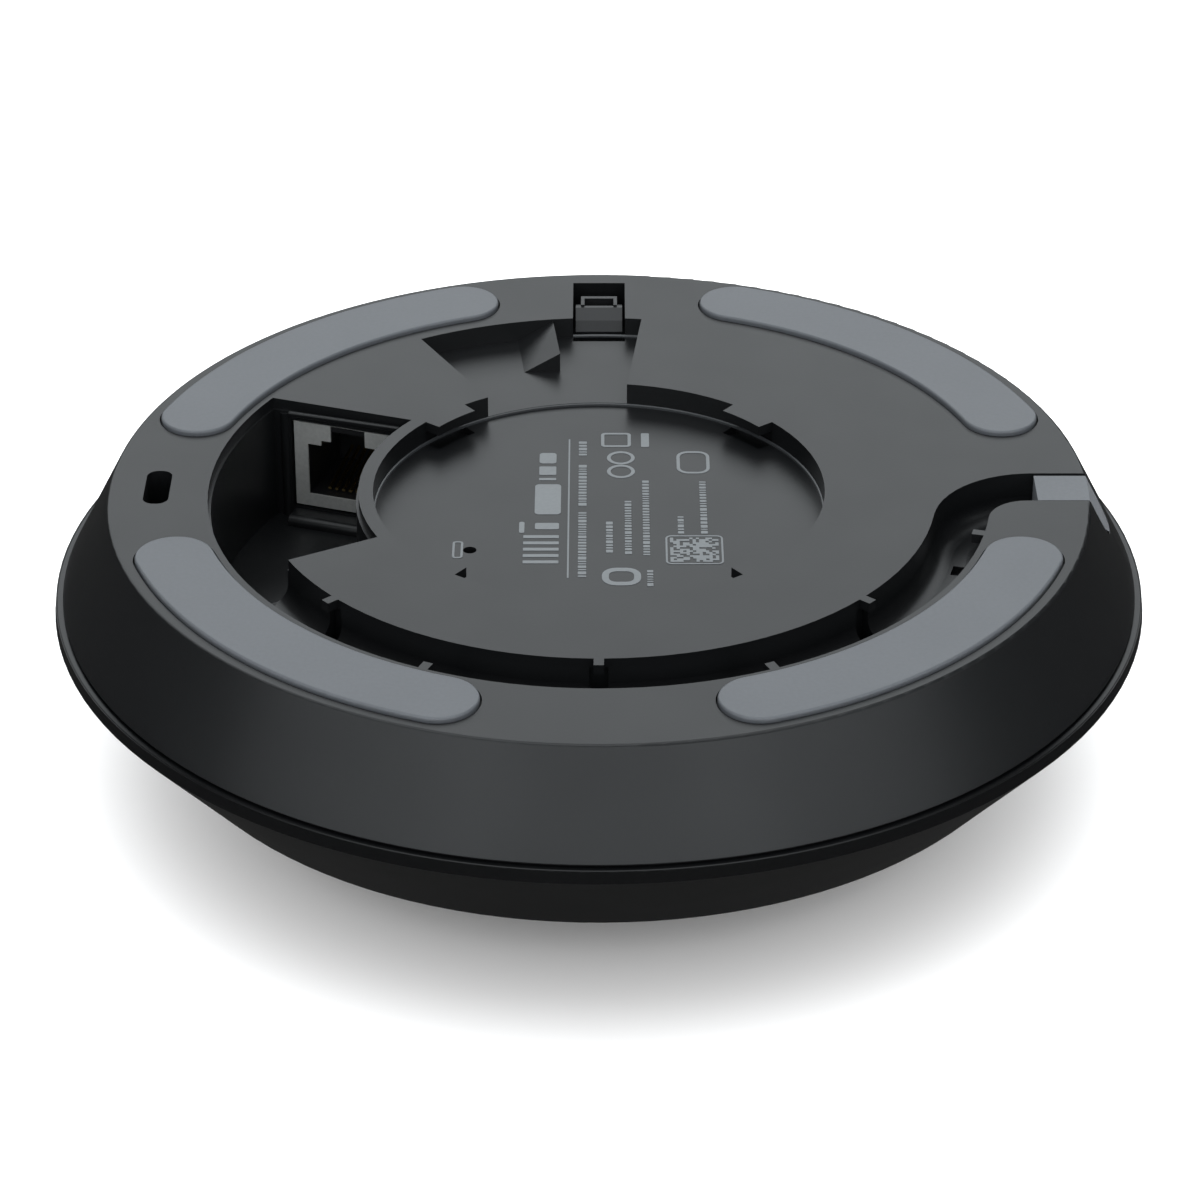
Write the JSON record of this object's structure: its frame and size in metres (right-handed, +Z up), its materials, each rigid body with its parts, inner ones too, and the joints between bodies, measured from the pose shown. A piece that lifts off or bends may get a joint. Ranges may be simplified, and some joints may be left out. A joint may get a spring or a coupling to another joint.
{
  "type": "ceiling access point",
  "caption": "Disc-shaped ceiling network unit with a jack bay, cable channel and bracket recess in its back and a domed lens in its front.",
  "frame": {"origin": "centre of the bracket recess, in the plane of the flat back face", "axes": "+Z up towards the ceiling, out of the back face; +X towards the cable exit; +Y towards the bracket latch"},
  "size_m": [0.1462, 0.1462, 0.0403],
  "materials": {
    "housing_plastic": "fine-textured charcoal",
    "bezel_plastic": "satin black",
    "pad_rubber": "matte grey",
    "plug_rubber": "matte grey",
    "seal_rubber": "matte black",
    "jack_metal": "tinned sheet",
    "jack_plastic": "moulded black",
    "contact_gold": "gold plated",
    "board_green": "solder mask",
    "chip_black": "moulded epoxy",
    "can_metal": "sleeved can",
    "core_dark": "wound core",
    "spreader_alu": "stamped sheet",
    "thermal_grey": "soft pad",
    "frame_plastic": "moulded black",
    "cover_gloss": "smoked, polished",
    "ring_plastic": "milky light guide",
    "dome_clear": "clear moulded dome",
    "lens_glass": "coated glass",
    "filter_glass": "coated filter glass",
    "barrel_black": "blacked barrel",
    "led_white": "moulded lamp",
    "sensor_dark": "sensor window",
    "flex_amber": "polyimide film",
    "screw_steel": "zinc plated",
    "switch_black": "moulded black"
  },
  "bodies": {
    "root": {"rear_housing": "housing_plastic", "jack_shield": "jack_metal", "jack_insert": "jack_plastic", "jack_contacts": "contact_gold", "jack_seal": "seal_rubber", "main_board": "board_green", "reset_switch": "switch_black", "poe_transformer": "core_dark", "capacitors": "can_metal", "power_inductor": "core_dark", "processor": "chip_black", "memory_chips": "chip_black", "thermal_pad": "thermal_grey", "heat_spreader": "spreader_alu", "front_bezel": "bezel_plastic", "housing_seal": "seal_rubber", "front_cover": "cover_gloss", "light_ring": "ring_plastic", "dome_cover": "dome_clear", "dome_seal": "seal_rubber", "inner_frame": "frame_plastic", "led_board": "board_green", "ir_leds": "led_white", "status_leds": "led_white", "microphone": "can_metal", "led_flex": "flex_amber", "lens_holder": "barrel_black", "filter_actuator": "core_dark", "sensor_board": "board_green", "image_sensor": "sensor_dark", "board_connector": "switch_black", "lens_barrel": "barrel_black", "front_element": "lens_glass", "middle_element": "lens_glass", "rear_element": "lens_glass", "lens_retaining_ring": "barrel_black", "housing_screws": "screw_steel", "board_screws": "screw_steel", "spreader_screws": "screw_steel", "holder_screws": "screw_steel", "foot_pad_1": "pad_rubber", "foot_pad_2": "pad_rubber", "foot_pad_3": "pad_rubber", "foot_pad_4": "pad_rubber"},
    "reset": {"reset_stem": "switch_black"},
    "latch": {"bracket_latch": "housing_plastic"},
    "filter_slide": {"filter_carriage": "frame_plastic", "ir_cut_filter": "filter_glass", "clear_filter": "lens_glass"},
    "exit_plug": {"cable_exit_plug": "plug_rubber"}
  },
  "joints": [
    {"name": "reset_press", "type": "slide", "parent": "root", "child": "reset", "axis": [0, 0, -1], "range_m": [0, 0.0003], "stiffness_N_per_m": 2000},
    {"name": "latch_press", "type": "slide", "parent": "root", "child": "latch", "axis": [0, 0, -1], "range_m": [0, 0.0012], "stiffness_N_per_m": 1500},
    {"name": "filter_switch", "type": "slide", "parent": "root", "child": "filter_slide", "axis": [-1, 0, 0], "range_m": [0, 0.0066]},
    {"name": "exit_plug_pull", "type": "slide", "parent": "root", "child": "exit_plug", "axis": [0, 0, 1], "range_m": [0, 0.02]}
  ]
}
